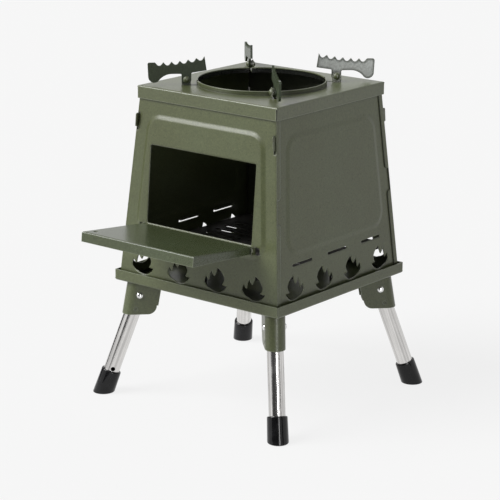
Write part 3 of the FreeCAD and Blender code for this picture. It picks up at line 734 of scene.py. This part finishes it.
@dataclass
class Walls:
    """The four leaning walls, coated outside, with painted shade on the inside of all but one."""

    soot: Colour = SHADE_BLACK
    soot_roughness: float = 0.62
    soot_strength: float = 0.6
    soft: float = 0.0028
    cleanest: Side = Side.LEFT
    soot_strength_cleanest: float = 0.0

    def dress(self) -> None:
        """Gives each wall its coat, with painted shade on its inner faces."""
        for side in Side:
            unshaded = side is self.cleanest
            strength = self.soot_strength_cleanest if unshaded else self.soot_strength
            # Painted shade: the faces towards the fire are darkened, except on one wall.
            tint = SideTint(self.soot, self.soot_roughness, strength, side.inward)
            coat = OliveCoat(f"{side.node}_coat", soft=self.soft, tints=(tint,))
            dress_node(side.node, coat.material())


@dataclass
class Door:
    """The let-down stoking door and its hinge pins."""

    finishes: Finishes
    colour: Colour = (0.054, 0.066, 0.030)
    roughness: float = 0.28

    def dress(self) -> None:
        """Gives the door and its pins their finishes."""
        coat = OliveCoat("door_coat", self.colour, roughness=self.roughness)
        dress_node("door_panel", coat.material())
        dress_node("door_hinge_pins", self.finishes.coat)


@dataclass
class Lid:
    """The lid with its pot opening, and the four pot supports with their rivets and washers."""

    finishes: Finishes
    # Painted shade of the lid's underside and of the inside of the pot opening's lip.
    soot: Colour = SHADE_BLACK
    soot_roughness: float = 0.24
    arm: Colour = (0.034, 0.045, 0.021)
    arm_wear: float = 0.0
    arm_gloss: float = 0.2
    lid_gloss: float = 0.64
    # Painted sheen: a pale colour on one face of the supports stands in for a lamp's reflection,
    # full on one support and faint on the others.
    pale: Colour = (0.52, 0.54, 0.52)
    pale_roughness: float = 0.38
    palest: Corner = Corner.BACK_RIGHT
    pale_share: float = 1.0
    pale_share_elsewhere: float = 0.02
    lip_radius: float = 0.0707
    lip_half: float = 0.0004
    lip_height: float = 0.004
    pivot_rise: float = 0.0063
    bead_radius: float = 0.00095
    slot_aside: float = 0.0046
    slot_half: float = 0.0019
    bead_steps: int = 72
    bead_sides: int = 14

    def bead_rings(self, start: float, end: float, height: float) -> list[list[Vector]]:
        """Works out one stretch of the rolled edge of the pot opening.

        Args:
            start: The turn where it starts, in radians.
            end: The turn where it ends.
            height: How high its middle lies.

        Returns:
            Its rings of points.
        """
        up = Vector((0.0, 0.0, 1.0))
        angles = [math.tau * side / self.bead_sides for side in range(self.bead_sides)]
        rings = []
        for step in range(self.bead_steps + 1):
            turn = start + (end - start) * step / self.bead_steps
            out = Vector((math.cos(turn), math.sin(turn), 0.0))
            middle = out * self.lip_radius + up * height
            rings.append([middle + (out * math.cos(angle) + up * math.sin(angle)) * self.bead_radius
                          for angle in angles])
        return rings

    def build(self) -> None:
        """Builds the rolled edge of the pot opening, open at the slots of the supports."""
        pivot = joint_place(f"support_{Corner.FRONT_LEFT.label}_fold")
        height = pivot.z - self.pivot_rise + self.lip_height
        first = math.asin((self.slot_aside - self.slot_half) / self.lip_radius)
        last = math.asin((self.slot_aside + self.slot_half) / self.lip_radius)
        mesh = bmesh.new()
        for corner in Corner:
            start, end = corner.turn + last, corner.turn + math.pi / 2 + first
            skin_rings(mesh, self.bead_rings(start, end, height))
        new_piece("pot_opening_bead", mesh, "lid", self.finishes.coat)

    def dress(self) -> None:
        """Gives the lid, the supports, the rivets and the washers their finishes."""
        # Painted shade: the lid's underside and the inside of the lip are darkened.
        under = SideTint(self.soot, self.soot_roughness)
        inside = CoreTint(self.soot, self.soot_roughness, radius=self.lip_radius - self.lip_half)
        coat = OliveCoat("lid_coat", gloss=self.lid_gloss, tints=(under, inside))
        dress_node("lid_plate", coat.material())
        for corner in Corner:
            # Painted sheen on one face of each support.
            share = self.pale_share if corner is self.palest else self.pale_share_elsewhere
            tint = FaceTint(self.pale, self.pale_roughness, share, tuple(-corner.along))
            coat = OliveCoat(f"support_coat_{corner.label}", self.arm, edge_strength=self.arm_wear,
                             gloss=self.arm_gloss, tints=(tint,))
            dress_node(f"pot_support_{corner.label}", coat.material())
        dress_node("pot_support_rivets", self.finishes.coat)
        dress_node("pot_support_washers", self.finishes.coat)


@dataclass
class Leg:
    """One folding leg: its channel under the tray, its tube and its rubber foot."""

    corner: Corner
    finishes: Finishes
    tilt: float = math.radians(19.7)
    tube_radius: float = 0.009
    foot_play: float = 0.00005
    foot_length: float = 0.0276
    foot_sole: float = 0.007
    foot_top: float = 0.0111
    foot_bottom: float = 0.0116
    lip_round: float = 0.0014
    sole_round: float = 0.0010
    round_steps: int = 5
    sides: int = 72
    lie: Matrix = field(init=False)
    reach: float = field(init=False)

    def __post_init__(self) -> None:
        """Works out how the tube lies and how far along it the ground is."""
        pivot = joint_place(f"leg_{self.corner.label}_fold")
        turn = Matrix.Rotation(self.corner.turn, 4, "Z") @ Matrix.Rotation(-self.tilt, 4, "Y")
        self.lie = Matrix.Translation(pivot) @ turn
        self.reach = pivot.z / math.cos(self.tilt)

    def ring(self, radius: float, depth: Callable[[float], float]) -> list[Vector]:
        """Works out one ring of points about the tube.

        Args:
            radius: Its radius.
            depth: How far below the pivot it lies, by a point's way outward from the middle.

        Returns:
            Its points, in the frame's place.
        """
        points = []
        for side in range(self.sides):
            angle = math.tau * side / self.sides
            across = radius * math.cos(angle)
            points.append(self.lie @ Vector((across, radius * math.sin(angle), -depth(across))))
        return points

    def foot_rings(self) -> list[list[Vector]]:
        """Works out the foot: its socket, its rounded lip, its side and its level sole.

        Returns:
            Its rings of points.
        """
        socket = self.tube_radius + self.foot_play
        lip = self.reach - self.foot_length
        floor = self.reach - self.foot_sole
        angles = [0.5 * math.pi * step / self.round_steps for step in range(self.round_steps + 1)]
        rings = [self.ring(socket, lambda across: floor), self.ring(socket, lambda across: lip)]
        for angle in angles:
            radius = self.foot_top - self.lip_round * (1.0 - math.sin(angle))
            depth = lip + self.lip_round * (1.0 - math.cos(angle))
            rings.append(self.ring(radius, lambda across, depth=depth: depth))
        for angle in angles:
            radius = self.foot_bottom - self.sole_round * (1.0 - math.cos(angle))
            lift = self.sole_round * (1.0 - math.sin(angle))
            rings.append(self.ring(radius, lambda across, lift=lift: self.ground(across) - lift))
        return rings

    def ground(self, across: float) -> float:
        """How far along the tube the ground lies, at a way outward from its middle."""
        return self.reach + across * math.tan(self.tilt)

    def build(self) -> None:
        """Builds the rubber foot with its rounded edges."""
        mesh = bmesh.new()
        skin_rings(mesh, self.foot_rings())
        name = self.corner.label
        foot = new_piece(f"rubber_foot_{name}", mesh, f"leg_{name}",
                         self.finishes.rubber)
        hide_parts(f"leg_foot_{name}")

    def dress(self) -> None:
        """Gives the channel, the tube and the plain foot their finishes."""
        name = self.corner.label
        dress_node(f"leg_bracket_{name}", self.finishes.coat)
        dress_node(f"leg_tube_{name}", DrawnSteel(f"drawn_steel_{name}", self.lie).material())
        dress_node(f"leg_foot_{name}", self.finishes.rubber)


@dataclass
class Camera:
    """The camera, at the photograph's angle."""

    azimuth: float = math.radians(38.651)
    elevation: float = math.radians(15.641)
    roll: float = math.radians(0.42)
    distance: float = 2.22978
    aside: float = -0.011524
    height: float = 0.161543
    lens: float = 143.33
    sensor: float = 36.0
    far: float = 100.0

    def build(self) -> None:
        """Sets the camera up."""
        right = Vector((math.cos(self.azimuth), math.sin(self.azimuth), 0.0))
        level = math.cos(self.elevation)
        back = Vector((math.sin(self.azimuth) * level, -math.cos(self.azimuth) * level,
                       math.sin(self.elevation)))
        up = back.cross(right)
        place = right * self.aside + Vector((0.0, 0.0, self.height)) + back * self.distance
        turned = Matrix.Rotation(self.roll, 3, back)
        data = bpy.data.cameras.new("camera")
        data.lens = self.lens
        data.sensor_width = self.sensor
        data.clip_end = self.far
        camera = add_object("camera", data)
        axes = Matrix((turned @ right, turned @ up, back)).transposed()
        camera.matrix_world = Matrix.Translation(place) @ axes.to_4x4()
        bpy.context.scene.camera = camera


@dataclass(frozen=True)
class SoftLamp:
    """A large, far, soft lamp.

    At a strength of 1 it lights a white face to white. Its softness is its width in degrees.
    """

    name: str
    towards: Direction
    strength: float
    softness: float

    def build(self) -> None:
        """Hangs the lamp."""
        data = bpy.data.lights.new(self.name, "SUN")
        data.energy = self.strength * math.pi
        data.angle = math.radians(self.softness)
        lamp = add_object(self.name, data)
        lamp.rotation_mode = "QUATERNION"
        lamp.rotation_quaternion = Vector(self.towards).to_track_quat("-Z", "Y")


@dataclass(frozen=True)
class Board:
    """An upright studio board round the stove that only shows mirrored.

    Its azimuth is in degrees, from the door's side to the right.
    """

    name: str
    azimuth: float
    distance: float
    half_width: float
    high: float
    low: float = 0.0
    colour: Colour = (0.02, 0.02, 0.02)
    brightness: float = 1.0

    def corners(self) -> list[Vector]:
        """Works out the board's corners.

        Returns:
            The corners in order.
        """
        turn = math.radians(self.azimuth)
        middle = Vector((math.sin(turn), -math.cos(turn), 0.0)) * self.distance
        aside = Vector((math.cos(turn), math.sin(turn), 0.0)) * self.half_width
        low, high = Vector((0.0, 0.0, self.low)), Vector((0.0, 0.0, self.high))
        left, right = middle - aside, middle + aside
        return [left + low, right + low, right + high, left + high]

    def build(self) -> None:
        """Stands the board up."""
        sheet = SurfaceSheet(self.name)
        glow = {"Color": (*self.colour, 1.0), "Strength": self.brightness}
        lit = sheet.add("ShaderNodeEmission", glow).outputs[0]
        sheet.add("ShaderNodeOutputMaterial", {"Surface": lit})
        data = bpy.data.meshes.new(self.name)
        data.from_pydata(self.corners(), [], [(0, 1, 2, 3)])
        data.materials.append(sheet.material)
        board = add_object(self.name, data)
        for ray in ("camera", "diffuse", "transmission", "volume_scatter", "shadow"):
            setattr(board, f"visible_{ray}", False)


@dataclass
class Studio:
    """The pale floor, the soft light, the boards and the camera."""

    floor_half: float = 12.0
    floor_drop: float = 0.0004
    ambient: float = 0.25
    lamps: tuple[SoftLamp, ...] = (
        SoftLamp("key_lamp", towards=(0.470, 0.610, -0.638), strength=1.22, softness=40.0),
    )
    boards: tuple[Board, ...] = (
        Board("dark_board_front", azimuth=12.0, distance=0.87, half_width=0.50, high=0.6,
              colour=(0.06, 0.06, 0.06)),
        Board("dark_board_left", azimuth=-84.0, distance=0.90, half_width=0.30, high=0.5),
        Board("dark_board_right", azimuth=92.0, distance=2.8, half_width=0.30, high=3.0,
              colour=(0.12, 0.12, 0.12)),
        Board("bright_strip", azimuth=57.0, distance=2.6, half_width=0.15, high=3.0,
              colour=(1.0, 1.0, 1.0), brightness=14.0),
    )

    def build_floor(self) -> None:
        """Lays the floor just under the feet."""
        mesh = bmesh.new()
        bmesh.ops.create_grid(mesh, x_segments=1, y_segments=1, size=self.floor_half)
        data = bpy.data.meshes.new("studio_floor")
        mesh.to_mesh(data)
        mesh.free()
        data.materials.append(FloorPaper().material())
        floor = add_object("studio_floor", data)
        floor.location.z = -self.floor_drop

    def build_world(self) -> None:
        """Lights the room evenly, and shows it near white."""
        world = bpy.data.worlds.new("studio")
        world.use_nodes = True
        sheet = NodeSheet(world.node_tree)
        white = {"Color": (1.0, 1.0, 1.0, 1.0), "Strength": self.ambient}
        room = sheet.add("ShaderNodeBackground", white).outputs[0]
        pale = {"Color": (*WHITE_PAPER, 1.0), "Strength": 1.0}
        paper = sheet.add("ShaderNodeBackground", pale).outputs[0]
        mixed = sheet.add("ShaderNodeMixShader", {0: sheet.seen(), 1: room, 2: paper}).outputs[0]
        sheet.add("ShaderNodeOutputWorld", {"Surface": mixed})
        bpy.context.scene.world = world

    def build(self) -> None:
        """Sets up the whole studio."""
        bpy.context.scene.view_settings.view_transform = "Standard"
        self.build_floor()
        self.build_world()
        for light in (*self.lamps, *self.boards):
            light.build()
        Camera().build()
        log.info("studio set up")


def main() -> None:
    """Builds and dresses the stove, then the studio round it."""
    logging.basicConfig(level=logging.INFO, format="%(message)s")
    finishes = Finishes()
    lid = Lid(finishes)
    legs = [Leg(corner, finishes) for corner in Corner]
    for assembly in (lid, *legs):
        assembly.build()
    for assembly in (Base(finishes), Walls(), Door(finishes), lid, *legs):
        assembly.dress()
    Studio().build()


if __name__ == "__main__":
    main()
